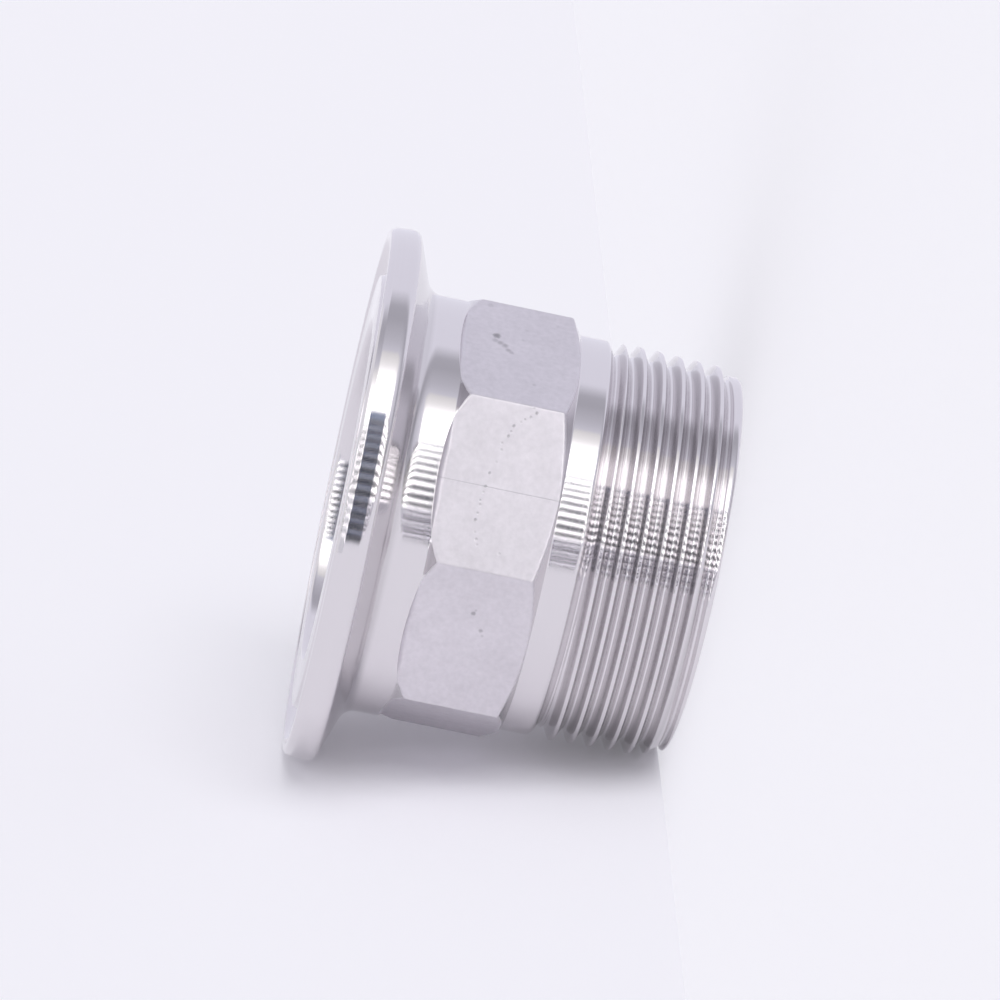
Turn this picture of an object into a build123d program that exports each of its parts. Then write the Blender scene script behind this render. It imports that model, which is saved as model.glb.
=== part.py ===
from build123d import *
from math import acos, atan, cos, degrees, radians, sin, sqrt, tan
import os

# Sanitary clamp adapter with a male taper pipe thread: one casting, turned at both ends.
# Z runs along the bore. The threaded end stands on Z = 0 and the sealing face of the flange is on top.
# Lengths are in millimetres and angles in degrees.

# Clamp flange
flange_diameter = 64.0
flange_rim_width = 3.5
flange_back_angle = 20.0
flange_front_edge = 0.5
flange_back_edge = 0.3

# Gasket groove in the sealing face, set in from the rim. Its section is an arc, drawn as chords
groove_inset = 3.85
groove_radius = 2.4
groove_depth = 1.6
groove_facets = 6

# Turned neck between the flange and the octagon, outside the bore by its wall.
# The round at its flange end is drawn as chords too
neck_length = 4.57
neck_wall = 4.8
neck_round = 2.1
neck_round_facets = 4

# Cast octagon that takes the wrench. Its flats stand out from the collar by their margin,
# and each runs on into the neck and ends there in an arched step. The blank trims its corners
octagon_sides = 8
octagon_length = 13.75
octagon_turn = -13.4
octagon_top_chamfer = 1.5
octagon_bottom_chamfer = 1.4
octagon_corner_trim = 0.05
flat_margin = 0.25
flat_overrun = 0.6
flat_arch_radius = 40.0
flat_step_chamfer = 0.5

# Turned collar between the octagon and the thread, higher than the crests at the small end
collar_length = 4.5
collar_step = 0.35

# Taper thread, right-handed, 11 threads an inch, 55 degrees, on a taper of 1 in 16
thread_diameter = 46.9
thread_length = 15.15
thread_pitch = 2.309
thread_angle = 55.0
thread_taper = 1 / 16
thread_crest_flat = 0.385
thread_root_flat = 0.32
runout_angle = 278.0
runout_depth = 0.08

# Plain nose that leads into the thread, lower than the crests
nose_length = 1.5
nose_step = 0.85
nose_chamfer = 0.5

# Bore, which leaves this wall under the crests at the small end
bore_wall = 3.2
bore_edge = 0.5

# How far a cutter passes the surface that it cuts
clearance = 0.2

# Radii
crest_end_radius = thread_diameter / 2
bore_radius = crest_end_radius - bore_wall
nose_radius = crest_end_radius - nose_step
collar_radius = crest_end_radius + collar_step
neck_radius = bore_radius + neck_wall
flange_radius = flange_diameter / 2
groove_centre_radius = flange_radius - groove_inset

# Heights above the threaded end
octagon_base = thread_length + collar_length
octagon_top = octagon_base + octagon_length
neck_top = octagon_top + neck_length
flange_back = neck_top + (flange_radius - neck_radius) * tan(radians(flange_back_angle))
overall_length = flange_back + flange_rim_width

# Octagon: distance of its flats and corners from the axis, and the slopes of its two chamfers
flat_distance = collar_radius + flat_margin
half_sector = 180 / octagon_sides
corner_radius = flat_distance / cos(radians(half_sector))
blank_radius = corner_radius - octagon_corner_trim
top_slope = octagon_top_chamfer / (corner_radius - neck_radius)
bottom_slope = octagon_bottom_chamfer / (corner_radius - collar_radius)

# Thread: its radius grows with height, and its groove is a V with a narrow flat at the root
half_taper = thread_taper / 2
flank = tan(radians(thread_angle / 2))
thread_depth = (thread_pitch - thread_crest_flat - thread_root_flat) / 2 / flank


def crest_radius(height):
    """Radius over the thread crests at a height above the threaded end."""
    return crest_end_radius + half_taper * height


def thread_section(height, depth):
    """Corners of the thread groove at a height, from just outside the crests to the root and back."""
    outer = crest_radius(height) + clearance
    root = crest_radius(height) - depth
    half_root = thread_root_flat / 2
    half_mouth = half_root + (outer - root) * flank
    return [
        (outer, height - half_mouth),
        (root, height - half_root),
        (root, height + half_root),
        (outer, height + half_mouth),
    ]


def arc_points(centre, radius, start, end, facets):
    """Points along an arc from a start angle to an end angle, one more than its facets."""
    angles = [radians(start + (end - start) * step / facets) for step in range(facets + 1)]
    return [(centre[0] + radius * cos(angle), centre[1] + radius * sin(angle)) for angle in angles]


# Cone at 45 degrees from the nose up to the thread taper
lead_top = nose_length + (crest_radius(nose_length) - nose_radius) / (1 - half_taper)

# Round between the neck and the back of the flange, and the arc of the gasket groove
neck_round_drop = neck_round * tan(radians((90 - flange_back_angle) / 2))
neck_round_centre = (neck_radius + neck_round, neck_top - neck_round_drop)
neck_round_points = arc_points(neck_round_centre, neck_round, 180, 90 + flange_back_angle, neck_round_facets)
groove_centre = (groove_centre_radius, overall_length + groove_radius - groove_depth)
groove_half_angle = degrees(acos((groove_radius - groove_depth) / groove_radius))
groove_points = arc_points(
    groove_centre, groove_radius, groove_half_angle - 90, -groove_half_angle - 90, groove_facets
)

# Outline of the turned blank as radius and height, once round its closed section
blank_outline = [
    (bore_radius + bore_edge, 0),
    (nose_radius - nose_chamfer, 0),
    (nose_radius, nose_chamfer),
    (nose_radius, nose_length),
    (crest_radius(lead_top), lead_top),
    (crest_radius(thread_length), thread_length),
    (collar_radius, thread_length),
    (collar_radius, octagon_base),
    (blank_radius, octagon_base + bottom_slope * (blank_radius - collar_radius)),
    (blank_radius, octagon_top - top_slope * (blank_radius - neck_radius)),
    (neck_radius, octagon_top),
    *neck_round_points,
    (flange_radius - flange_back_edge, flange_back - flange_back_edge * tan(radians(flange_back_angle))),
    (flange_radius, flange_back + flange_back_edge),
    (flange_radius, overall_length - flange_front_edge),
    (flange_radius - flange_front_edge, overall_length),
    *groove_points,
    (bore_radius + bore_edge, overall_length),
    (bore_radius, overall_length - bore_edge),
    (bore_radius, bore_edge),
]

# Cutter for one flat: it lies outside the flat on the +X side, and its top is the arched step
cutter_half_width = flat_distance * tan(radians(half_sector)) + clearance
cutter_top = octagon_top + flat_overrun
cutter_shoulder = cutter_top - flat_arch_radius + sqrt(flat_arch_radius**2 - cutter_half_width**2)
cutter_base = octagon_base - clearance
with BuildPart() as flat_cutter:
    with BuildSketch(Plane(origin=(flat_distance, 0, 0), x_dir=(0, 1, 0), z_dir=(1, 0, 0))):
        with BuildLine():
            ThreePointArc(
                (-cutter_half_width, cutter_shoulder), (0, cutter_top), (cutter_half_width, cutter_shoulder)
            )
            Polyline(
                (cutter_half_width, cutter_shoulder),
                (cutter_half_width, cutter_base),
                (-cutter_half_width, cutter_base),
                (-cutter_half_width, cutter_shoulder),
            )
        make_face()
    extrude(amount=blank_radius - flat_distance + clearance)
    step_edge = flat_cutter.faces().sort_by(Axis.X)[0].edges().sort_by(Axis.Z)[-1]
    chamfer(step_edge, flat_step_chamfer)

# Cutters for the thread groove, one for each turn, from below the nose up to the run-out groove
thread_cutters = []
thread_start = -thread_pitch
thread_turn = runout_angle - 360 * (thread_length - thread_start) / thread_pitch
turn_base = thread_start
while turn_base < thread_length:
    turn_height = min(thread_pitch, thread_length - turn_base)
    with BuildPart() as turn_cutter:
        with BuildLine() as groove_path:
            Helix(
                pitch=thread_pitch,
                height=turn_height,
                radius=crest_radius(turn_base),
                center=(0, 0, turn_base),
                cone_angle=degrees(atan(half_taper)),
            )
        with BuildSketch(Plane.XZ):
            with BuildLine():
                Polyline(*thread_section(turn_base, thread_depth), close=True)
            make_face()
        sweep(path=groove_path.line, is_frenet=True)
    thread_cutters.append(turn_cutter.part)
    turn_base += turn_height

with BuildPart() as adapter_body:
    # Turned blank with its bore
    with BuildSketch(Plane.XZ):
        with BuildLine():
            Polyline(*blank_outline, close=True)
        make_face()
    revolve(axis=Axis.Z)

    # Flats of the octagon
    with PolarLocations(0, octagon_sides, start_angle=octagon_turn + half_sector):
        add(flat_cutter.part, mode=Mode.SUBTRACT)

    # Thread, and the plain groove in which it runs out below the collar
    for turn in thread_cutters:
        add(turn, rotation=(0, 0, thread_turn), mode=Mode.SUBTRACT)
    with BuildSketch(Plane.XZ):
        with BuildLine():
            Polyline(*thread_section(thread_length, thread_depth + runout_depth), close=True)
        make_face()
    revolve(axis=Axis.Z, mode=Mode.SUBTRACT)

os.makedirs("parts", exist_ok=True)
adapter_body.part.label = "adapter_body"
export_step(adapter_body.part, "parts/adapter_body.step")
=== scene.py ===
"""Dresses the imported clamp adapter: its turned and cast steel surface, the lamps, the floor and the camera.

Lengths in the outline functions are in millimetres, as on a turner's drawing, and become metres in the mesh.
"""

import bmesh
import bpy
import numpy as np
from bpy.props import FloatProperty, FloatVectorProperty, IntProperty, PointerProperty
from bpy.types import Operator, Panel, PropertyGroup
from mathutils import Matrix, Vector


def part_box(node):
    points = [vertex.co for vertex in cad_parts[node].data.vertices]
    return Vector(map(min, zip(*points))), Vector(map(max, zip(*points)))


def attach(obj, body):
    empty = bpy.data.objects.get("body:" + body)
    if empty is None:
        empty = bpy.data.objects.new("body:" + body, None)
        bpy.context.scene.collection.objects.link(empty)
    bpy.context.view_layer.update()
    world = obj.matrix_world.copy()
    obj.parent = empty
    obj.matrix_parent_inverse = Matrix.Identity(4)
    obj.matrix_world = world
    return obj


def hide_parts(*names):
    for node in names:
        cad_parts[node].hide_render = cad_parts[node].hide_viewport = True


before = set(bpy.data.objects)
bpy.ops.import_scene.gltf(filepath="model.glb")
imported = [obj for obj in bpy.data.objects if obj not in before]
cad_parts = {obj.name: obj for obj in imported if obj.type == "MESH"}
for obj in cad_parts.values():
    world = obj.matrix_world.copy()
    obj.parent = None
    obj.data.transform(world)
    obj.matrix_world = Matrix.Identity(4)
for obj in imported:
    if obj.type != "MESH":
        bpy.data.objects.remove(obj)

bl_info = {
    "name": "Clamp adapter look",
    "version": (1, 0, 0),
    "blender": (4, 5, 0),
    "location": "3D View > Sidebar > Adapter",
    "description": "Builds the visible surface, finish and studio of a threaded clamp adapter",
    "category": "Object",
}

BODY_NODE = "adapter_body"
MM = 0.001
BOX_LOW, BOX_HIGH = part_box(BODY_NODE)
FLANGE_RADIUS = (BOX_HIGH[0] - BOX_LOW[0]) / 2
OVERALL_LENGTH = BOX_HIGH[2]


def length(name, description, default):
    """A property that holds a length in metres."""
    return FloatProperty(
        name=name, description=description, default=default, min=0.0, unit="LENGTH", precision=5
    )


def colour(name, description, default):
    """A property that holds a colour."""
    return FloatVectorProperty(
        name=name, description=description, default=default, size=3, min=0.0, max=1.0, subtype="COLOR"
    )


def share(name, description, default):
    """A property that holds a share from 0 to 1."""
    return FloatProperty(
        name=name, description=description, default=default, min=0.0, max=1.0, precision=3, subtype="FACTOR"
    )


def lean(name, description, degrees):
    """A property that holds a lean, given in degrees and kept in radians."""
    angle = float(np.radians(degrees))
    return FloatProperty(
        name=name, description=description, default=angle, min=0.0, subtype="ANGLE", unit="ROTATION"
    )


def strength(name, description, default):
    """A property that holds a light's strength."""
    return FloatProperty(name=name, description=description, default=default, min=0.0, soft_max=10.0)


class AdapterShape(PropertyGroup):
    """Sizes of the visible surface that the solid leaves plain."""

    flange_radius: length("Flange radius", "Outer radius of the clamp flange", FLANGE_RADIUS)
    overall_length: length("Overall length", "From the threaded end to the sealing face", OVERALL_LENGTH)
    rim_draw_in: length("Rim draw-in", "How far the rim's front is inside its back", 0.18 * MM)
    rim_front_edge: length("Rim front edge", "Height of the broken edge at the sealing face", 0.85 * MM)
    rim_front_depth: length("Rim front depth", "How far the broken edge goes in", 0.55 * MM)
    rim_back_round: length("Rim back round", "Round of the rim at its sloping back", 0.9 * MM)
    octagon_corner_round: length("Octagon corner round", "Cast round along the corners", 0.35 * MM)
    octagon_edge_round: length("Octagon edge round", "Round where the flats meet the chamfers", 0.25 * MM)
    collar_edge_round: length("Collar edge round", "Round of the collar over the run-out groove", 0.3 * MM)
    nose_edge_round: length("Nose edge round", "Round of the threaded end", 0.5 * MM)
    rows_per_pitch: IntProperty(
        name="Rows per pitch", description="Rows of faces over one thread", default=28, min=8, max=40
    )


class AdapterFinish(PropertyGroup):
    """Colours and finish of the turned and the cast steel."""

    turned_colour: colour("Turned colour", "Colour of the turned steel", (0.785, 0.757, 0.775))
    cast_colour: colour("Cast colour", "Colour of the cast octagon", (0.72, 0.69, 0.725))
    turned_roughness: share("Turned roughness", "Roughness of the turned steel", 0.11)
    cast_roughness: share("Cast roughness", "Roughness of the cast skin", 0.43)
    mark_depth: length("Turning mark depth", "Depth of the tool marks", 0.0005 * MM)
    grain_depth: length("Cast grain depth", "Depth of the blasted grain", 0.014 * MM)


class AdapterStudio(PropertyGroup):
    """The floor, the lamps and the backdrop."""

    table_colour: colour("Table colour", "Colour of the pale table", (0.955, 0.948, 0.998))
    backdrop_colour: colour("Backdrop colour", "Colour of the backdrop", (0.885, 0.878, 0.925))
    room_level: strength("Room level", "Strength of the room's even light", 0.58)
    overhead_level: strength("Overhead level", "Strength of the lamp over the table", 1.24)
    top_level: strength("Top level", "Strength of the lamp above the flange", 0.62)
    lamp_level: strength("Lamp level", "Strength of the bright lamp that shows in the steel", 2.1)
    table_lean: lean("Table lean", "How far the table rises to the camera", 17.0)
    lamp_lean: lean("Lamp lean", "How far the overhead lamp leans to the camera", 28.0)
    lamp_drop: share("Lamp drop", "How far the overhead lamp leans to the threaded end", 0.12)
    floor_share: share("Floor share", "Share of the floor's shade that takes light and shadow", 0.42)
    table_share: share("Table share", "Share of the table's shade that takes light and shadow", 0.90)
    floor_level: strength("Floor level", "Strength of the even rest of the floor's shade", 1.072)
    table_level: strength("Table level", "Strength of the even rest of the table's shade", 1.03)
    lens: FloatProperty(
        name="Lens", description="Focal length on a 36 mm sensor", default=190.52, min=10.0, unit="CAMERA"
    )


# Sizes that part.py gives the solid, in millimetres and degrees
THREAD_END_RADIUS = 23.45
THREAD_PITCH = 2.309
THREAD_LENGTH = 15.15
HALF_TAPER = 1 / 32
ROOT_HEIGHT = 13.365
NOSE_RADIUS = 22.6
NOSE_LENGTH = 1.5
COLLAR_RADIUS = 23.8
NECK_RADIUS = 25.05
BORE_RADIUS = 20.25
BORE_EDGE = 0.5
OCTAGON_BASE = 19.65
OCTAGON_TOP = 33.4
FLAT_DISTANCE = 24.05
OCTAGON_TURN = -13.4
OCTAGON_SECTOR = 45.0
TOP_CHAMFER = 1.5
BOTTOM_CHAMFER = 1.4
FLAT_TOP = 34.0
FLAT_ARCH_RADIUS = 40.0
FLAT_STEP = 0.5
NECK_TOP = 37.97
NECK_ROUND = 2.1
BACK_ANGLE = 20.0
RIM_WIDTH = 3.5
GROOVE_CENTRE_RADIUS = 28.15
GROOVE_RADIUS = 2.4
GROOVE_DEPTH = 1.6

# A 55 degree pipe thread: half its angle, and the height of its sharp V and the round of its root in pitches
FLANK_ANGLE = np.radians(27.5)
SHARP_HEIGHT = 0.960491
ROOT_ROUND = 0.1373

# Small forms of the surface alone, in millimetres
RUNOUT_APEX_DEPTH = 1.93
RUNOUT_ROUND = 0.25
CREST_SOFTNESS = 0.07
RUNOUT_SOFTNESS = 0.12
NOSE_SOFTNESS = 0.10
STEP_ROUND = 0.3
SMALL_ROUND = 0.1
BASE_ROUND = 0.12
RIM_LINE_ROUND = 0.06
FACE_ROUND = 0.35
BORE_FLARE = 0.3
BORE_MOUTH = 1.8

# Heights between which the rows climb with the thread
THREAD_ZONE_LOW = 0.5
THREAD_ZONE_HIGH = 16.9
# Places of the rows in half a pitch, from the root to the crest: share of the rows, and share of the pitch
ROW_SHARES = (0.0, 0.30, 0.36, 0.62, 0.70, 0.86, 1.0)
ROW_PLACES = (0.0, 0.122, 0.16, 0.385, 0.409, 0.427, 0.5)
NOSE_ROWS = 7
ARC_POINTS = 15
NECK_ARC_POINTS = 12
# Half width of an octagon corner in radii of its round, the columns beside it in half widths, and the even
# columns from there to the flat's middle, the first of them one degree on
CORNER_REACH = 0.45
CORNER_COLUMNS = np.array([0.0, 0.4, 0.8, 1.1, 1.5])
FLAT_COLUMNS = 12
# A round takes at most this share of the shorter edge beside it. The row past it lies further on by these
# shares of the round and, at most, of the edge
ROUND_SHARE = 0.45
PAST_ROUND = 0.6
PAST_EDGE = 0.04
# A face is cast where the mean of its corners' cast marks is above this
CAST_LIMIT = 0.6

# Painted shade darkens the turned steel's colour on the thread's flanks and on the flange's back, which lies
# above the first height and below the second
BACK_LOW = 31.5
BACK_HIGH = 40.3
BACK_PAINTED_SHADE = 0.86
FLANK_PAINTED_SHADE = 0.80
# Tool marks in a millimetre, and how much a millimetre of radius counts beside one of height
FINE_MARKS = 7.0
FEED_MARKS = 1.7
RADIUS_SHARE = 0.83
CHATTER_SCALES = (350.0, 350.0, 3000.0)
CLOUD_SCALE = 120.0

# Cast skin: scales of its four noises, dents of the pits and parting line in grain depths, and its shades as
# shares of its colour. The pits' darker shade is painted shade in their hollows
GRAIN_SCALE = 3200.0
SPECKLE_SCALE = 1500.0
PATCH_SCALE = 420.0
MOTTLE_SCALE = 110.0
PIT_DENT = 9.0
PARTING_DENT = 2.0
LIGHT_SHADE = 1.22
DULL_SHADE = 0.78
PIT_PAINTED_SHADE = 0.35

# Pits of the casting on the upper, front and lower flat that face the camera: distance across the flat from
# its middle, height and size in millimetres, and depth of the painted shade in each pit's hollow
PITS = {
    1: (
        (2.9, 29.8, 0.60, 0.70), (1.9, 29.9, 0.50, 0.30), (1.6, 29.3, 0.50, 0.38), (1.2, 28.7, 0.52, 0.42),
        (0.4, 28.3, 0.44, 0.36), (0.0, 27.9, 0.40, 0.28), (9.0, 30.9, 0.50, 0.18), (5.2, 26.4, 0.35, 0.10),
        (3.1, 26.7, 0.25, 0.14), (-5.6, 24.9, 0.30, 0.16), (7.4, 22.8, 0.35, 0.10),
    ),
    2: (
        (9.8, 24.6, 0.20, 0.25), (9.3, 24.2, 0.24, 0.55), (8.7, 24.8, 0.22, 0.38), (8.3, 25.4, 0.20, 0.30),
        (7.9, 25.8, 0.18, 0.15), (7.3, 26.5, 0.24, 0.45), (6.6, 26.7, 0.20, 0.30), (6.0, 26.9, 0.24, 0.50),
        (5.1, 27.5, 0.20, 0.22), (4.3, 27.4, 0.22, 0.25), (2.8, 27.7, 0.20, 0.12), (1.4, 28.2, 0.24, 0.45),
        (-0.2, 28.4, 0.24, 0.40), (-0.9, 28.5, 0.20, 0.18), (-1.9, 28.7, 0.20, 0.28),
        (-2.4, 28.6, 0.20, 0.25), (-3.4, 28.7, 0.20, 0.28), (-4.2, 28.8, 0.24, 0.48),
        (-5.6, 28.6, 0.20, 0.12), (-6.4, 28.3, 0.24, 0.30), (-7.0, 28.1, 0.20, 0.15),
        (-7.5, 25.4, 0.22, 0.15),
    ),
    3: (
        (4.0, 26.7, 0.36, 0.55), (1.8, 25.4, 0.34, 0.50), (1.1, 25.1, 0.22, 0.18), (4.5, 26.5, 0.20, 0.25),
    ),
}
# The casting's parting line: its turn in degrees, and half its width in millimetres
PARTING_TURN = -81.4
PARTING_WIDTH = 0.07

# The pale table touches the flange's rim and the thread: radius and height in millimetres
RIM_TOUCH = (32.0, 42.0)
THREAD_TOUCH = (23.5, 2.0)
TABLE_SIZE = 1.5
FLOOR_SIZE = 3.0

# Lamps: the top lamp's direction, the spreads of both in degrees, and their colour
TOP_DIRECTION = (0.05, -0.35, 1.0)
OVERHEAD_SPREAD = 40.0
TOP_SPREAD = 55.0
LAMP_COLOUR = (1.0, 0.995, 1.0)

# The photograph's camera: its place in millimetres, and its right, upward and forward directions
CAMERA_PLACE = (-6.126, -624.113, 68.109)
CAMERA_AXES = (
    (0.200503, -0.070659, -0.977142), (0.979590, 0.0, 0.201005), (0.014203, 0.997501, -0.069217),
)
CAMERA_SENSOR = 36.0
CAMERA_NEAR = 0.01
CAMERA_FAR = 20.0

# Radii in metres of the lamp panels' layers. A panel hides those of the layers outside it
RING_LAYER = 0.90
LAMP_LAYER = 0.895
ROW_LAYER = 0.89
GAP_LAYER = 0.885
FINE_LAYER = 0.88

# Colours of the lamp panels
WHITE = (1.0, 0.99, 1.0)
LILAC = (0.895, 0.89, 1.0)
# Angle and strength of the lamp ring, and the share of it that the disc at its foot has
RING_LEVELS = (
    (-20, 0.94), (83, 0.94), (88, 0.74), (93, 0.54), (100, 0.52), (110, 0.64), (120, 0.85),
    (144.5, 0.80), (145.5, 0.12), (180.5, 0.12), (181.5, 0.70), (206, 0.74), (215, 0.80),
)
RING_SPAN = (-20, 215)
RING_FOOT = 0.72
RING_STEPS = 80
# Angles of the gaps between the bright rows, and half the width of the first and the last
ROW_GAPS = (146.9, 150.4, 154.0, 157.6, 161.5, 165.6, 170.3, 174.8, 179.5, 184.2, 188.9, 193.6, 198.4, 203.2)
GAP_HALVES = (0.65, 1.7)
# How many of the rows show in the neck and collar, and by how much each is narrower than the one before it
NECK_ROWS = 8
NECK_ROW_STEP = 0.11
# Half the width of the gaps between the low rows
LOW_GAP_HALF = 1.2
# Fine rows low down: first angle, step, width and how much the width varies
FINE_ROWS = 10
FINE_START = 182.3
FINE_STEP = 2.15
FINE_WIDTH = 0.60
FINE_CHANGE = 0.2


def soft_min(a, b, width):
    """The lower of a and b, with the crossing rounded: min(a, b) - max(width - |a - b|, 0)^2 / (4 width)."""
    near = np.maximum(width - np.abs(a - b), 0.0)
    return np.minimum(a, b) - near * near / (4 * width)


def vee(offset, apex, root_round):
    """Radius over a V groove: apex + |offset| / tan(flank), with a circle of the given radius in its root."""
    away = np.abs(offset)
    centre = root_round / np.sin(FLANK_ANGLE)
    reach = root_round * np.cos(FLANK_ANGLE)
    round_part = centre - np.sqrt(np.maximum(root_round**2 - np.minimum(away, reach) ** 2, 0.0))
    return apex + np.where(away < reach, round_part, away / np.tan(FLANK_ANGLE))


def threaded_radius(height, turn, shape):
    """Radius of the threaded end at a height and a turn in degrees.

    The crests lie on the cone end radius + height / 32. The groove's root climbs one pitch a turn from its
    height at turn 0 and stops in the run-out groove. The surface is the lowest of the crest cone, the helical
    V, the run-out V, the nose with its lead cone below and the collar above, with each crossing rounded.
    """
    crest = THREAD_END_RADIUS + HALF_TAPER * height
    triangle = SHARP_HEIGHT * THREAD_PITCH
    root = ROOT_HEIGHT + THREAD_PITCH * turn / 360.0
    last = np.floor((THREAD_LENGTH + 1e-6 - root) / THREAD_PITCH)
    nearest = np.minimum(np.round((height - root) / THREAD_PITCH), last)
    offset = height - root - nearest * THREAD_PITCH
    groove = vee(offset, crest + triangle / 6 - triangle, ROOT_ROUND * THREAD_PITCH)
    collar = height > THREAD_LENGTH
    land = np.where(collar, COLLAR_RADIUS, crest)
    radius = np.where(collar, land, soft_min(land, groove, CREST_SOFTNESS))
    runout_apex = THREAD_END_RADIUS + HALF_TAPER * THREAD_LENGTH - RUNOUT_APEX_DEPTH
    runout = vee(height - THREAD_LENGTH, runout_apex, RUNOUT_ROUND)
    edge = shape.collar_edge_round / MM
    radius = soft_min(radius, runout, np.where(collar, 2.2 * edge, RUNOUT_SOFTNESS))
    nose = NOSE_RADIUS + np.maximum(height - NOSE_LENGTH, 0.0)
    round_size = shape.nose_edge_round / MM
    dip = np.maximum(round_size - height, 0.0)
    nose = nose - round_size + np.sqrt(np.maximum(round_size**2 - dip**2, 0.0))
    return soft_min(radius, nose, NOSE_SOFTNESS)


def flat_radius(away, corner_round):
    """Radius of the octagon at an angle from a flat's middle: distance / cos(angle), with round corners."""
    half = np.radians(OCTAGON_SECTOR / 2)
    angle = np.radians(away)
    straight = FLAT_DISTANCE / np.cos(angle)
    centre = (FLAT_DISTANCE - corner_round) / np.cos(half)
    from_corner = half - angle
    inside = np.maximum(corner_round**2 - (centre * np.sin(from_corner)) ** 2, 0.0)
    rounded = centre * np.cos(from_corner) + np.sqrt(inside)
    touch = half - np.arctan((FLAT_DISTANCE - corner_round) / FLAT_DISTANCE * np.tan(half))
    return np.where(from_corner < touch, rounded, straight)


def columns(corner_round):
    """Turns in degrees of the columns: close together at the octagon's corners and even between them."""
    near = np.degrees(corner_round / FLAT_DISTANCE) * CORNER_REACH * CORNER_COLUMNS
    far = np.linspace(near[-1] + 1.0, OCTAGON_SECTOR / 2, FLAT_COLUMNS)
    half = np.concatenate([near, far])
    sector = np.concatenate([-half[:0:-1], half[:-1]])
    turns = (OCTAGON_TURN + OCTAGON_SECTOR * np.arange(8)[:, None] + sector[None, :]).ravel()
    turns = np.sort(np.mod(turns, 360.0))
    return np.append(turns, turns[0] + 360.0)


def thread_rows(turns, rows):
    """Heights and turns of the threaded zone's rows.

    The rows climb one pitch a turn beside the groove, closer over its round root and at the crest's corners,
    and are held between the zone's two ends. The last column's rows are the first one's, one pitch higher.
    """
    half = rows // 2
    ramp = np.linspace(0.0, 1.0, half + 1)
    bunched = np.interp(ramp, ROW_SHARES, ROW_PLACES)
    parts = np.concatenate([bunched[:-1], 1 - bunched[:0:-1]])
    first = int(np.floor((THREAD_ZONE_LOW - ROOT_HEIGHT) / THREAD_PITCH - turns[-1] / 360.0))
    last = int(np.ceil((THREAD_ZONE_HIGH - ROOT_HEIGHT) / THREAD_PITCH - turns[0] / 360.0))
    steps = (np.arange(first, last)[:, None] + parts[None, :]).ravel()
    steps = np.append(steps, float(last))
    height = ROOT_HEIGHT + THREAD_PITCH * (turns[None, :] / 360.0 + steps[:, None])
    return np.clip(height, THREAD_ZONE_LOW, THREAD_ZONE_HIGH)


def rounded_outline(stations, count):
    """Rows of an outline whose corners are rounded.

    A corner B between A and C with a round of length t becomes the curve (1-u)^2 P + 2u(1-u) B + u^2 Q, where
    P and Q lie at t from B towards A and C. A row beside P and Q keeps the shading of the faces next to the
    round flat. Each station is (radius, height, round length, cast). Every entry may vary with the column.
    """
    radius = np.array([np.broadcast_to(s[0], count) for s in stations], dtype=float)
    height = np.array([np.broadcast_to(s[1], count) for s in stations], dtype=float)
    reach = np.array([np.broadcast_to(s[2], count) for s in stations], dtype=float)
    point = np.stack([radius, height], axis=-1)
    rows, tags = [point[0]], [stations[0][3]]
    for index in range(1, len(stations) - 1):
        before = point[index - 1] - point[index]
        after = point[index + 1] - point[index]
        long_before = np.linalg.norm(before, axis=-1)
        long_after = np.linalg.norm(after, axis=-1)
        tag = stations[index][3]
        if np.max(reach[index]) <= 0:
            rows.append(point[index])
            tags.append(tag)
            continue
        shorter = np.minimum(long_before, long_after)
        trim = np.minimum(reach[index], ROUND_SHARE * shorter)[:, None]
        beside = trim + np.minimum(PAST_ROUND * trim[:, 0], PAST_EDGE * shorter)[:, None]
        to_before = before / np.maximum(long_before, 1e-9)[:, None]
        to_after = after / np.maximum(long_after, 1e-9)[:, None]
        start, end = point[index] + trim * to_before, point[index] + trim * to_after
        rows.append(point[index] + beside * to_before)
        tags.append(tag)
        for u in (0.0, 0.25, 0.5, 0.75, 1.0):
            rows.append((1 - u) ** 2 * start + 2 * u * (1 - u) * point[index] + u * u * end)
            tags.append(tag)
        rows.append(point[index] + beside * to_after)
        tags.append(tag)
    rows.append(point[-1])
    tags.append(stations[-1][3])
    return np.array(rows), np.array([np.broadcast_to(t, count) for t in tags], dtype=float)


def arc(centre_radius, centre_height, radius, start, end, steps):
    """Radius and height along a circle, from a start angle to an end angle in degrees."""
    angle = np.radians(np.linspace(start, end, steps))
    return centre_radius + radius * np.cos(angle), centre_height + radius * np.sin(angle)


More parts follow.
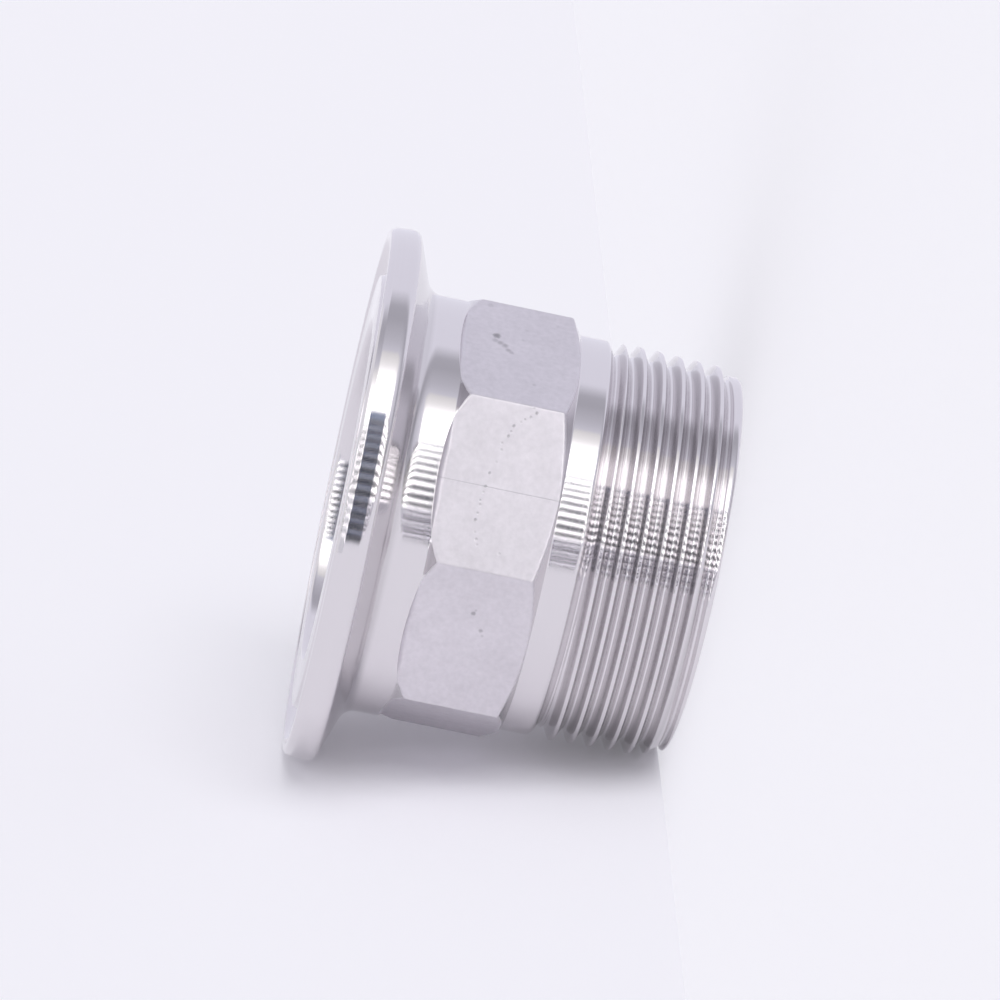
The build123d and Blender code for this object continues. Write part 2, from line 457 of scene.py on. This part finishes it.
def upper_stations(turns, shape):
    """Corners of the outline: collar, octagon, neck, flange with its groove, bore and its lower edge."""
    top = shape.overall_length / MM
    rim = shape.flange_radius / MM
    away = np.abs(np.mod(turns - OCTAGON_TURN, OCTAGON_SECTOR) - OCTAGON_SECTOR / 2)
    flat = flat_radius(away, shape.octagon_corner_round / MM)
    corner = FLAT_DISTANCE / np.cos(np.radians(OCTAGON_SECTOR / 2))
    low = OCTAGON_BASE + BOTTOM_CHAMFER * (flat - COLLAR_RADIUS) / (corner - COLLAR_RADIUS)
    across = FLAT_DISTANCE * np.tan(np.radians(away))
    arch = FLAT_TOP - FLAT_ARCH_RADIUS + np.sqrt(FLAT_ARCH_RADIUS**2 - across**2)
    sunk = flat < NECK_RADIUS
    ramp = np.where(sunk, np.minimum(FLAT_STEP, 0.6 * (NECK_RADIUS - flat)), 0.0)
    cone = OCTAGON_TOP - TOP_CHAMFER * (flat - NECK_RADIUS) / (corner - NECK_RADIUS)
    flat_end = np.where(sunk, arch - ramp, cone)
    step_radius = np.where(sunk, flat + ramp, 0.5 * (flat + NECK_RADIUS))
    step_height = np.where(sunk, arch, 0.5 * (cone + OCTAGON_TOP))
    neck_start = np.where(sunk, arch, OCTAGON_TOP)
    edge = shape.octagon_edge_round / MM
    cast_step = np.where(sunk, 1.0, 0.0)
    stations = [
        (COLLAR_RADIUS, THREAD_ZONE_HIGH, 0.0, 0.0),
        (COLLAR_RADIUS, OCTAGON_BASE, BASE_ROUND, 0.0),
        (flat, low, edge, 1.0),
        (flat, 0.5 * (low + flat_end), 0.0, 1.0),
        (flat, flat_end, np.where(sunk, STEP_ROUND, edge), 1.0),
        (step_radius, step_height, 0.0, cast_step),
        (NECK_RADIUS, neck_start, SMALL_ROUND, 0.0),
    ]
    drop = NECK_ROUND * np.tan(np.radians((90 - BACK_ANGLE) / 2))
    radii, heights = arc(
        NECK_RADIUS + NECK_ROUND, NECK_TOP - drop, NECK_ROUND, 180, 90 + BACK_ANGLE, NECK_ARC_POINTS
    )
    stations += [(r, h, 0.0, 0.0) for r, h in zip(radii, heights)]
    back = top - RIM_WIDTH
    stations += [
        (rim, back, shape.rim_back_round / MM, 0.0),
        (rim - shape.rim_draw_in / MM, top - shape.rim_front_edge / MM, RIM_LINE_ROUND, 0.0),
        (rim - shape.rim_front_depth / MM, top, FACE_ROUND, 0.0),
    ]
    half = np.degrees(np.arccos((GROOVE_RADIUS - GROOVE_DEPTH) / GROOVE_RADIUS))
    middle = top + GROOVE_RADIUS - GROOVE_DEPTH
    radii, heights = arc(GROOVE_CENTRE_RADIUS, middle, GROOVE_RADIUS, half - 90, -half - 90, ARC_POINTS)
    rounds = np.zeros(ARC_POINTS)
    rounds[[0, -1]] = SMALL_ROUND
    stations += [(r, h, e, 0.0) for r, h, e in zip(radii, heights, rounds)]
    stations += [
        (BORE_RADIUS + BORE_FLARE, top, BORE_EDGE, 0.0),
        (BORE_RADIUS, top - BORE_MOUTH, 0.0, 0.0),
        (BORE_RADIUS, 0.66 * top, 0.0, 0.0),
        (BORE_RADIUS, 0.33 * top, 0.0, 0.0),
        (BORE_RADIUS, 0.0, BORE_EDGE, 0.0),
        (0.5 * (BORE_RADIUS + NOSE_RADIUS), 0.0, 0.0, 0.0),
    ]
    return stations


def body_surface(shape):
    """Vertices, faces and cast marks of the whole surface.

    The surface is one outline of radius and height carried round the axis: point = (r cos t, r sin t, h). The
    outline changes with the turn t over the octagon and the thread, and closes on itself through the bore.
    """
    turns = columns(shape.octagon_corner_round / MM)
    count = len(turns)
    climb = thread_rows(turns, shape.rows_per_pitch)
    edge = shape.nose_edge_round / MM
    level = edge * (1 - np.cos(np.linspace(0.0, np.pi / 2, NOSE_ROWS)[:-1]))
    height = np.concatenate([np.repeat(level[:, None], count, axis=1), climb])
    height = np.maximum(height, 0.0)
    radius = threaded_radius(height, np.broadcast_to(turns, height.shape), shape)
    upper, cast = rounded_outline(upper_stations(turns, shape), count)
    radius = np.concatenate([radius, upper[1:, :, 0]])
    height = np.concatenate([height, upper[1:, :, 1]])
    cast = np.concatenate([np.zeros((len(climb) + len(level), count)), cast[1:]])
    angle = np.radians(turns)[None, :]
    x, y = radius * np.cos(angle), radius * np.sin(angle)
    x[:, -1], y[:, -1] = radius[:, -1] * np.cos(angle[0, 0]), radius[:, -1] * np.sin(angle[0, 0])
    points = np.stack([x, y, height], axis=-1).reshape(-1, 3) * MM
    row_count = len(radius)
    row = np.arange(row_count)[:, None]
    column = np.arange(count - 1)[None, :]
    next_row = (row + 1) % row_count
    lower = row * count + column
    upper_side = next_row * count + column
    faces = np.stack([lower, lower + 1, upper_side + 1, upper_side], axis=-1).reshape(-1, 4)
    above = np.roll(cast, -1, axis=0)
    mean = (cast[:, :-1] + cast[:, 1:] + above[:, :-1] + above[:, 1:]) / 4
    return points, faces, (mean > CAST_LIMIT).ravel().astype(np.int32)


class Wire:
    """A shader socket. Sums and products of wires and numbers add the Math nodes that work them out."""

    def __init__(self, tree, socket=None):
        self.tree = tree
        self.socket = socket

    def node(self, kind, settings=None, values=None, output=0):
        """Adds a node, first its settings and then its values or links, and returns the wire of an output."""
        made = self.tree.nodes.new(kind)
        for name, value in (settings or {}).items():
            if name == "stops":
                ramp = made.color_ramp
                while len(ramp.elements) < len(value):
                    ramp.elements.new(1.0)
                for element, (place, shade) in zip(ramp.elements, value):
                    element.position = place
                    element.color = (*shade, 1.0) if np.ndim(shade) else (shade, shade, shade, 1.0)
            else:
                setattr(made, name, value)
        for name, value in (values or {}).items():
            if isinstance(value, Wire):
                self.tree.links.new(value.socket, made.inputs[name])
            else:
                made.inputs[name].default_value = value
        return Wire(self.tree, made.outputs[output])

    def math(self, operation, *values):
        """A Math node of numbers or wires."""
        return self.node("ShaderNodeMath", {"operation": operation}, dict(enumerate(values)))

    def blend(self, factor, first, second):
        """A Mix node of two colours."""
        shades = [shade if isinstance(shade, Wire) else (*shade, 1.0) for shade in (first, second)]
        return self.node(
            "ShaderNodeMix", {"data_type": "RGBA"}, {0: factor, 6: shades[0], 7: shades[1]}, output=2
        )

    def held(self, low=0.0, high=1.0):
        """The wire's value, held between two numbers."""
        return self.node("ShaderNodeClamp", {}, {0: self, 1: low, 2: high})

    def rise(self, start, width):
        """0 up to start and 1 from a width past it, even in between. A negative width falls towards start."""
        return ((self - start) * (1.0 / width)).held()

    def __add__(self, other):
        return self.math("ADD", self, other)

    __radd__ = __add__

    def __sub__(self, other):
        return self.math("SUBTRACT", self, other)

    def __rsub__(self, other):
        return self.math("SUBTRACT", other, self)

    def __mul__(self, other):
        return self.math("MULTIPLY", self, other)

    __rmul__ = __mul__


def new_material(name):
    """An empty node material, its starting wire and its output node."""
    material = bpy.data.materials.new(name)
    material.use_nodes = True
    material.node_tree.nodes.clear()
    return material, Wire(material.node_tree), material.node_tree.nodes.new("ShaderNodeOutputMaterial")


def turned_steel(finish):
    """Turned stainless steel: fine tool marks round the axis, which spread each reflection along it.

    The thread's flanks and the flange's back carry painted shade: their colour is a little darker. Their
    masks are products of rises in height, in radius and in the depth under the crests.
    """
    material, start, output = new_material("turned_steel")
    place = start.node("ShaderNodeTexCoord", output=3)
    parts = start.node("ShaderNodeSeparateXYZ", values={0: place}).socket.node.outputs
    x, y, z = (Wire(start.tree, parts[axis]) * (1.0 / MM) for axis in range(3))
    radius = start.math("SQRT", x * x + y * y)
    along = z + radius * RADIUS_SHARE
    one_way = {"noise_dimensions": "1D"}
    marks = start.node("ShaderNodeTexNoise", one_way, {"W": along * FINE_MARKS, "Detail": 2.0})
    feed = start.node("ShaderNodeTexNoise", one_way, {"W": along * FEED_MARKS, "Detail": 1.0})
    cloud = start.node("ShaderNodeTexNoise", {}, {"Vector": place, "Scale": CLOUD_SCALE, "Detail": 3.0})
    stretched = start.node(
        "ShaderNodeVectorMath", {"operation": "MULTIPLY"}, {0: place, 1: CHATTER_SCALES}
    )
    chatter = start.node("ShaderNodeTexNoise", {}, {"Vector": stretched, "Scale": 1.0, "Detail": 1.0})
    bump = start.node(
        "ShaderNodeBump",
        {},
        {"Strength": 1.0, "Distance": finish.mark_depth, "Height": marks + feed * 2.0 + chatter * 4.0},
    )
    steel = finish.turned_colour
    shade = start.blend(cloud * 0.5 + feed * 0.5, [c * 0.95 for c in steel], steel[:])
    depth = z * HALF_TAPER + THREAD_END_RADIUS - radius
    threaded = z.rise(THREAD_LENGTH, -0.3) * z.rise(NOSE_LENGTH, 0.3)
    # Painted shade: the thread's flanks, between crest and root, take a darker colour
    flank_painted_shade = depth.rise(0.08, 0.4) * depth.rise(1.34, -1 / 6) * threaded
    shade = start.blend(flank_painted_shade, shade, [c * FLANK_PAINTED_SHADE for c in steel])
    # Painted shade: the flange's sloping back takes a darker colour
    back = radius.rise(NECK_RADIUS + 0.07, 0.25) * z.rise(BACK_LOW, 1 / 3) * z.rise(BACK_HIGH, -0.25)
    shade = start.blend(back, shade, [c * BACK_PAINTED_SHADE for c in steel])
    surface = start.node(
        "ShaderNodeBsdfPrincipled",
        {},
        {
            "Base Color": shade,
            "Metallic": 1.0,
            "Roughness": (marks - 0.5) * 0.05 + finish.turned_roughness,
            "Anisotropic": 1.0,
            "Anisotropic Rotation": 0.25,
            "Normal": bump,
        },
    )
    start.tree.links.new(surface.socket, output.inputs["Surface"])
    return material


def pit_places():
    """Centre, size and painted shade of every pit. A centre is its flat's middle plus the distance across it.
    """
    for flat, pits in PITS.items():
        facing = np.radians(OCTAGON_TURN + OCTAGON_SECTOR * (0.5 - flat))
        for across, height, size, depth in pits:
            x = FLAT_DISTANCE * np.cos(facing) - across * np.sin(facing)
            y = FLAT_DISTANCE * np.sin(facing) + across * np.cos(facing)
            yield (float(x) * MM, float(y) * MM, height * MM), size * MM, depth


def cast_steel(finish):
    """Cast and blasted stainless steel: an even satin with fine grain, a parting line and small dark pits.

    Each pit dents the skin and darkens it with painted shade by 1 - distance / size, held between 0 and 1.
    """
    material, start, output = new_material("cast_steel")
    place = start.node("ShaderNodeTexCoord", output=3)
    grain = start.node("ShaderNodeTexNoise", {}, {"Vector": place, "Scale": GRAIN_SCALE, "Detail": 2.0})
    cloud = start.node("ShaderNodeTexNoise", {}, {"Vector": place, "Scale": PATCH_SCALE, "Detail": 4.0})
    mottle = start.node("ShaderNodeTexNoise", {}, {"Vector": place, "Scale": MOTTLE_SCALE, "Detail": 2.0})
    pits = None
    for centre, size, depth in pit_places():
        away = start.node("ShaderNodeVectorMath", {"operation": "DISTANCE"}, {0: place, 1: centre}, output=1)
        rough_edge = away * (1.0 / size) + grain * 0.5 - 0.25
        pit = ((1.0 - rough_edge) * depth * 1.6).held(0.0, depth)
        pits = pit if pits is None else pits.math("MAXIMUM", pits, pit)
    facing = np.radians(PARTING_TURN)
    square = (float(np.sin(facing)), float(-np.cos(facing)), 0.0)
    away = start.node("ShaderNodeVectorMath", {"operation": "DOT_PRODUCT"}, {0: place, 1: square}, output=1)
    line = (1.0 - away.math("ABSOLUTE", away) * (1.0 / (PARTING_WIDTH * MM))).held()
    bump = start.node(
        "ShaderNodeBump",
        {},
        {
            "Strength": 1.0,
            "Distance": finish.grain_depth,
            "Height": grain * 0.35 + cloud - pits * PIT_DENT - line * PARTING_DENT,
        },
    )
    speckle = start.node("ShaderNodeTexNoise", {}, {"Vector": place, "Scale": SPECKLE_SCALE, "Detail": 3.0})
    light = [min(1.0, c * LIGHT_SHADE) for c in finish.cast_colour]
    patches = speckle * 0.45 + cloud * 0.30 + mottle * 0.25
    shade = start.blend(patches, [c * DULL_SHADE for c in finish.cast_colour], light)
    dark = [c * PIT_PAINTED_SHADE for c in finish.cast_colour]
    # Painted shade in the pits' hollows
    shade = start.blend(pits, shade, dark)
    shade = start.blend(line * 0.3, shade, dark)
    surface = start.node(
        "ShaderNodeBsdfPrincipled",
        {},
        {
            "Base Color": shade,
            "Metallic": 1.0,
            "Roughness": (cloud - 0.5) * 0.10 + finish.cast_roughness,
            "Normal": bump,
        },
    )
    start.tree.links.new(surface.socket, output.inputs["Surface"])
    return material


def make_object(name, points, faces):
    """A mesh object from vertex and face arrays, at the origin."""
    mesh = bpy.data.meshes.new(name)
    mesh.from_pydata(points, [], faces)
    made = bpy.data.objects.new(name, mesh)
    bpy.context.collection.objects.link(made)
    return made


class ADAPTER_OT_body(Operator):
    """Builds the adapter's visible surface with its finish, in place of the plain solid"""

    bl_idname = "adapter.body"
    bl_label = "Build adapter surface"

    def execute(self, context):
        points, faces, cast = body_surface(context.scene.adapter_shape)
        body = make_object("adapter_surface", points, faces)
        mesh = body.data
        mesh.materials.append(turned_steel(context.scene.adapter_finish))
        mesh.materials.append(cast_steel(context.scene.adapter_finish))
        mesh.polygons.foreach_set("material_index", cast)
        work = bmesh.new()
        work.from_mesh(mesh)
        bmesh.ops.remove_doubles(work, verts=work.verts, dist=2e-8)
        bmesh.ops.recalc_face_normals(work, faces=work.faces)
        open_edges = sum(1 for edge in work.edges if not edge.is_manifold)
        work.to_mesh(mesh)
        work.free()
        if open_edges:
            raise RuntimeError(f"the surface has {open_edges} open edges")
        mesh.shade_smooth()
        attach(body, "root")
        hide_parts(BODY_NODE)
        return {"FINISHED"}


def room_light(studio):
    """The room's even light. The camera, metal and glass see it at full level, as a white backdrop."""
    world = bpy.data.worlds.new("studio_room")
    world.use_nodes = True
    world.node_tree.nodes.clear()
    start = Wire(world.node_tree)
    output = world.node_tree.nodes.new("ShaderNodeOutputWorld")
    path = start.node("ShaderNodeLightPath").socket.node.outputs
    camera, glossy, through = (
        Wire(start.tree, path[name]) for name in ("Is Camera Ray", "Is Glossy Ray", "Is Transmission Ray")
    )
    seen = camera + glossy + through
    level = seen * (1.0 - studio.room_level) + studio.room_level
    shade = (*studio.backdrop_colour, 1.0)
    shine = start.node("ShaderNodeBackground", {}, {"Color": shade, "Strength": level})
    start.tree.links.new(shine.socket, output.inputs["Surface"])
    return world


def pale_table(name, studio, matt_share, even_level):
    """A matt pale table, seen from its upper side only. The even rest of its shade makes shadows soft."""
    material, start, output = new_material(name)
    matt = start.node("ShaderNodeBsdfDiffuse", {}, {"Color": (*studio.table_colour, 1.0)})
    even = start.node(
        "ShaderNodeEmission", {}, {"Color": (*studio.backdrop_colour, 1.0), "Strength": even_level}
    )
    shaded = start.node("ShaderNodeMixShader", {}, {0: matt_share, 1: even, 2: matt})
    clear = start.node("ShaderNodeBsdfTransparent")
    back = start.node("ShaderNodeNewGeometry", output=6)
    surface = start.node("ShaderNodeMixShader", {}, {0: back, 1: shaded, 2: clear})
    start.tree.links.new(surface.socket, output.inputs["Surface"])
    return material


def lamp_face(name, shade, level):
    """A lamp's even face."""
    material, start, output = new_material(name)
    shine = start.node("ShaderNodeEmission", {}, {"Color": (*shade, 1.0), "Strength": level})
    start.tree.links.new(shine.socket, output.inputs["Surface"])
    return material


def ring_face(name, shade, levels):
    """The lamp ring's face: its strength follows the angle round the axis, through (angle, strength) stops.

    It mixes a dark face and one of the greatest strength by the share that the stops give.
    """
    material, start, output = new_material(name)
    place = start.node("ShaderNodeTexCoord", output=3)
    parts = start.node("ShaderNodeSeparateXYZ", values={0: place}).socket.node.outputs
    angle = start.math("ARCTAN2", Wire(start.tree, parts[0]), Wire(start.tree, parts[1])) * (180.0 / np.pi)
    place_in_turn = start.math("MODULO", angle + 450.0, 360.0) * (1.0 / 360.0)
    most = max(level for _, level in levels)
    stops = [((degrees + 90.0) / 360.0, level / most) for degrees, level in levels]
    ramp = start.node("ShaderNodeValToRGB", {"stops": stops}, {0: place_in_turn})
    dark = start.node("ShaderNodeEmission", {}, {"Color": (*shade, 1.0), "Strength": 0.0})
    bright = start.node("ShaderNodeEmission", {}, {"Color": (*shade, 1.0), "Strength": most})
    shine = start.node("ShaderNodeMixShader", {}, {0: ramp, 1: dark, 2: bright})
    start.tree.links.new(shine.socket, output.inputs["Surface"])
    return material


def lamp_panel(name, spans, low, high, material, steps=6):
    """Lamp faces round the axis: point = (r sin a, r cos a, h), for each span of angles a.

    The radius r and height h go from low to high. The angle a is 0 behind the adapter as the camera sees it,
    90 over its upper side and 180 at the camera. The lamps show in the steel alone.
    """
    angle = np.radians(np.array([np.linspace(first, last, steps) for first, last in spans]))
    ring = np.stack([np.sin(angle), np.cos(angle), np.ones_like(angle)], axis=-1)
    reach = np.array([[radius, radius, height] for radius, height in (low, high)])
    points = (ring[:, None] * reach[None, :, None, :]).reshape(-1, 3)
    first = (np.arange(len(spans))[:, None] * 2 * steps + np.arange(steps - 1)[None, :]).ravel()
    faces = np.stack([first, first + 1, first + steps + 1, first + steps], axis=-1)
    panel = make_object(name, points, faces)
    panel.data.materials.append(material)
    panel.visible_camera = False
    panel.visible_diffuse = False
    panel.visible_shadow = False


def table_plane(name, middle, normal, size, material):
    """A square of the table: point = middle + u a + v b, with a and b square to the normal."""
    normal = normal / np.linalg.norm(normal)
    first = np.cross(normal, np.array([0.0, 1.0, 0.0]))
    first = first / np.linalg.norm(first)
    second = np.cross(normal, first)
    corners = np.array([[-1, -1], [1, -1], [1, 1], [-1, 1]]) * size
    points = middle + corners[:, :1] * first + corners[:, 1:] * second
    made = make_object(name, points, np.array([[0, 1, 2, 3]]))
    made.data.materials.append(material)
    return made


def sun_lamp(name, towards, level, spread):
    """A soft, even lamp in a direction. It lights the table and floor and doesn't show in the steel."""
    light = bpy.data.lights.new(name, "SUN")
    light.energy = level
    light.angle = np.radians(spread)
    light.color = LAMP_COLOUR
    lamp = bpy.data.objects.new(name, light)
    bpy.context.collection.objects.link(lamp)
    lamp.rotation_mode = "QUATERNION"
    lamp.rotation_quaternion = Vector(-towards).to_track_quat("-Z", "Y")
    lamp.visible_glossy = False


def tables(studio):
    """The floor under the threaded end and the pale table along its side. Returns the table's normal."""
    even = pale_table("pale_floor", studio, studio.floor_share, studio.floor_level)
    floor = table_plane("floor", np.zeros(3), np.array([0.0, 0.0, 1.0]), FLOOR_SIZE, even)
    floor.visible_glossy = False
    floor.visible_diffuse = False
    floor.visible_shadow = False
    side = np.array([np.cos(studio.table_lean), -np.sin(studio.table_lean), 0.0])
    rim_touch, thread_touch = (
        np.array([0.0, 0.0, height]) - radius * side for radius, height in (RIM_TOUCH, THREAD_TOUCH)
    )
    along = rim_touch - thread_touch
    normal = np.cross(np.cross(along, side), along)
    table = pale_table("pale_table", studio, studio.table_share, studio.table_level)
    table_plane("side_table", rim_touch * MM, normal, TABLE_SIZE, table)
    return normal / np.linalg.norm(normal)


def sun_lamps(studio, table_normal):
    """The lamp over the table, leaning to the camera and the threaded end, and the one over the flange."""
    to_camera = np.array([0.0, -1.0, 0.0]) + table_normal[1] * table_normal
    to_camera = to_camera / np.linalg.norm(to_camera)
    to_lamp = np.cos(studio.lamp_lean) * table_normal + np.sin(studio.lamp_lean) * to_camera
    to_lamp = to_lamp - np.array([0.0, 0.0, studio.lamp_drop])
    sun_lamp("overhead_lamp", to_lamp, studio.overhead_level, OVERHEAD_SPREAD)
    sun_lamp("top_lamp", np.array(TOP_DIRECTION), studio.top_level, TOP_SPREAD)


def photo_camera(scene, lens):
    """The camera, at the photograph's place and turn."""
    camera = bpy.data.objects.new("camera", bpy.data.cameras.new("camera"))
    bpy.context.collection.objects.link(camera)
    camera.data.sensor_width = CAMERA_SENSOR
    camera.data.lens = lens
    camera.data.clip_start = CAMERA_NEAR
    camera.data.clip_end = CAMERA_FAR
    right, upward, forward = (Vector(axis) for axis in CAMERA_AXES)
    axes = Matrix((right, upward, -forward)).transposed().to_4x4()
    camera.matrix_world = Matrix.Translation(Vector(CAMERA_PLACE) * MM) @ axes
    scene.camera = camera


def wide_lamps(lamp_level):
    """The lamp ring with the disc at its foot, and the bright lamp that shows along the upper side."""
    ring = ring_face("lamp_ring", LILAC, RING_LEVELS)
    low, high = (RING_LAYER, -1.4), (RING_LAYER, 0.9)
    lamp_panel("lamp_ring", [RING_SPAN], low, high, ring, steps=RING_STEPS)
    foot_levels = [(place, level * RING_FOOT) for place, level in RING_LEVELS]
    foot = ring_face("lamp_ring_end", LILAC, foot_levels)
    lamp_panel("lamp_ring_end", [RING_SPAN], (0.02, -1.42), low, foot, steps=RING_STEPS)
    levels = ((118, 0.8), (124, 1.1), (129, 1.7), (133, lamp_level), (145, lamp_level), (146.8, 1.6))
    bright = ring_face("bright_lamp", WHITE, levels)
    lamp_panel("bright_lamp", [(118, 146.7)], (LAMP_LAYER, -0.35), (LAMP_LAYER, 0.9), bright, steps=16)


def lamp_rows(rows):
    """The bright rows that show along the steel, the shade between them and the fine rows under them."""
    more = [(start + NECK_ROW_STEP * k, end) for k, (start, end) in enumerate(rows[:NECK_ROWS])]
    bright = lamp_face("lamp_row", WHITE, 2.8)
    lamp_panel("lamp_rows", more + [(180.7, 181.5)], (ROW_LAYER, -0.4), (ROW_LAYER, 0.0), bright)
    gaps = ring_face("row_gaps", LILAC, ((147, 0.42), (158, 0.34), (170, 0.26), (180, 0.20)))
    lamp_panel("row_gaps", [(146.9, 180.4)], (LAMP_LAYER, -0.35), (LAMP_LAYER, 0.03), gaps, steps=16)
    edges = zip(ROW_GAPS[:NECK_ROWS], ROW_GAPS[1:])
    low_rows = [(start + LOW_GAP_HALF, end - LOW_GAP_HALF) for start, end in edges] + [(180.7, 181.7)]
    lamp_panel("low_rows", low_rows, (ROW_LAYER, -0.95), (ROW_LAYER, -0.4), lamp_face("low_row", WHITE, 4.2))
    row_end = lamp_face("row_end", WHITE, 1.2)
    lamp_panel("lowest_rows", low_rows, (ROW_LAYER, -1.3), (ROW_LAYER, -0.95), row_end)
    lamp_panel("row_ends", low_rows, (0.05, -1.35), (ROW_LAYER, -1.3), row_end)
    row_back = lamp_face("row_back", LILAC, 0.15)
    lamp_panel("row_back", [(145.5, 205)], (RING_LAYER, 1.3), (RING_LAYER, 2.6), row_back, steps=20)
    lamp_panel("upper_lamp_rows", rows, (ROW_LAYER, 0.25), (ROW_LAYER, 0.85), bright)
    lamp_panel("top_lamp_rows", rows, (ROW_LAYER, 1.3), (ROW_LAYER, 2.6), bright)
    fine_gap = lamp_face("fine_gap", (0.86, 0.82, 1.0), 0.08)
    lamp_panel("fine_gap", [(181.9, 204.5)], (GAP_LAYER, -0.45), (GAP_LAYER, 0.03), fine_gap, steps=10)
    fine = lamp_face("fine_row", (0.93, 0.91, 1.0), 2.3)
    number = np.arange(FINE_ROWS)
    starts = FINE_START + FINE_STEP * number
    ends = starts + FINE_WIDTH + FINE_CHANGE * np.sin(2.4 * number)
    fine_rows = list(zip(starts, ends)) + [(202.9, 204.2)]
    lamp_panel("fine_rows", fine_rows, (FINE_LAYER, -0.45), (FINE_LAYER, 0.03), fine)


def rim_window(rows):
    """The dark blue band that shows in the flange's rim, with a lighter end and faint rows over it."""
    low, high = (FINE_LAYER, 0.03), (FINE_LAYER, 0.25)
    levels = ((147, 0.20), (154, 0.16), (162, 0.08), (205, 0.06))
    gap = ring_face("window_gap", (0.36, 0.42, 0.66), levels)
    lamp_panel("window_gap", [(147.8, 205)], (GAP_LAYER, 0.03), (GAP_LAYER, 0.25), gap, steps=20)
    top = lamp_face("window_top", (0.45, 0.6, 1.0), 0.34)
    lamp_panel("window_top", [(145.3, 148.6)], low, high, top)
    row = lamp_face("window_row", (0.40, 0.50, 0.85), 0.25)
    lamp_panel("window_rows", rows[1:], low, high, row)


class ADAPTER_OT_studio(Operator):
    """Builds the pale floor and table, the soft lamps and the camera"""

    bl_idname = "adapter.studio"
    bl_label = "Build studio"

    def execute(self, context):
        studio = context.scene.adapter_studio
        context.scene.world = room_light(studio)
        sun_lamps(studio, tables(studio))
        photo_camera(context.scene, studio.lens)
        context.scene.view_settings.view_transform = "Standard"
        halves = np.linspace(*GAP_HALVES, len(ROW_GAPS))
        edges = zip(ROW_GAPS, halves, ROW_GAPS[1:], halves[1:])
        rows = [(start + half, end - next_half) for start, half, end, next_half in edges]
        wide_lamps(studio.lamp_level)
        lamp_rows(rows)
        rim_window(rows)
        return {"FINISHED"}


class ADAPTER_PT_panel(Panel):
    """Lists the adapter's builders and their settings"""

    bl_label = "Clamp adapter"
    bl_idname = "ADAPTER_PT_panel"
    bl_space_type = "VIEW_3D"
    bl_region_type = "UI"
    bl_category = "Adapter"

    def draw(self, context):
        groups = (
            (ADAPTER_OT_body.bl_idname, context.scene.adapter_shape),
            (None, context.scene.adapter_finish),
            (ADAPTER_OT_studio.bl_idname, context.scene.adapter_studio),
        )
        for operator, group in groups:
            box = self.layout.box()
            if operator:
                box.operator(operator)
            for name in group.__annotations__:
                box.prop(group, name)


CLASSES = (
    AdapterShape,
    AdapterFinish,
    AdapterStudio,
    ADAPTER_OT_body,
    ADAPTER_OT_studio,
    ADAPTER_PT_panel,
)


def register():
    for item in CLASSES:
        bpy.utils.register_class(item)
    bpy.types.Scene.adapter_shape = PointerProperty(type=AdapterShape)
    bpy.types.Scene.adapter_finish = PointerProperty(type=AdapterFinish)
    bpy.types.Scene.adapter_studio = PointerProperty(type=AdapterStudio)


def unregister():
    del bpy.types.Scene.adapter_studio
    del bpy.types.Scene.adapter_finish
    del bpy.types.Scene.adapter_shape
    for item in reversed(CLASSES):
        bpy.utils.unregister_class(item)


def main():
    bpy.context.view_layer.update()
    register()
    bpy.ops.adapter.body()
    bpy.ops.adapter.studio()


if __name__ == "__main__":
    main()
